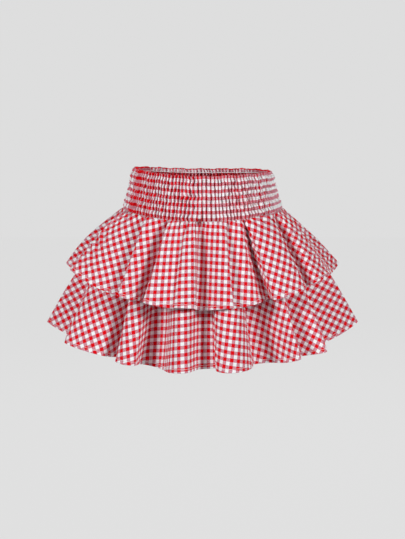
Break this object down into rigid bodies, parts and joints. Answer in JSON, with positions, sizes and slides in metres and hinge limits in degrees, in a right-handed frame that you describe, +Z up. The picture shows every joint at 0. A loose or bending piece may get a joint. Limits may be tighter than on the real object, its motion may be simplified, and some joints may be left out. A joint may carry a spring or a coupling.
{
  "type": "tiered flounce skirt",
  "caption": "Child's flared skirt of checked cotton: a wide shirred elastic waistband over two flounced tiers, held open as worn.",
  "frame": {"origin": "middle of the waist opening, half way down the waistband, where the wearer holds the skirt up", "axes": "+Z up, the front panel faces -Y, +X to the right as seen from the front"},
  "size_m": [0.4528, 0.2954, 0.2766],
  "materials": {
    "gingham_cotton": "matt plain-weave cotton poplin, red and white 5 mm gingham",
    "gingham_shirred": "the same gingham drawn up on rows of elastic thread"
  },
  "bodies": {
    "root": {"waistband_front": "gingham_shirred", "waistband_back": "gingham_shirred", "upper_tier_front": "gingham_cotton", "upper_tier_back": "gingham_cotton", "lower_tier_front": "gingham_cotton", "lower_tier_back": "gingham_cotton"}
  },
  "joints": []
}
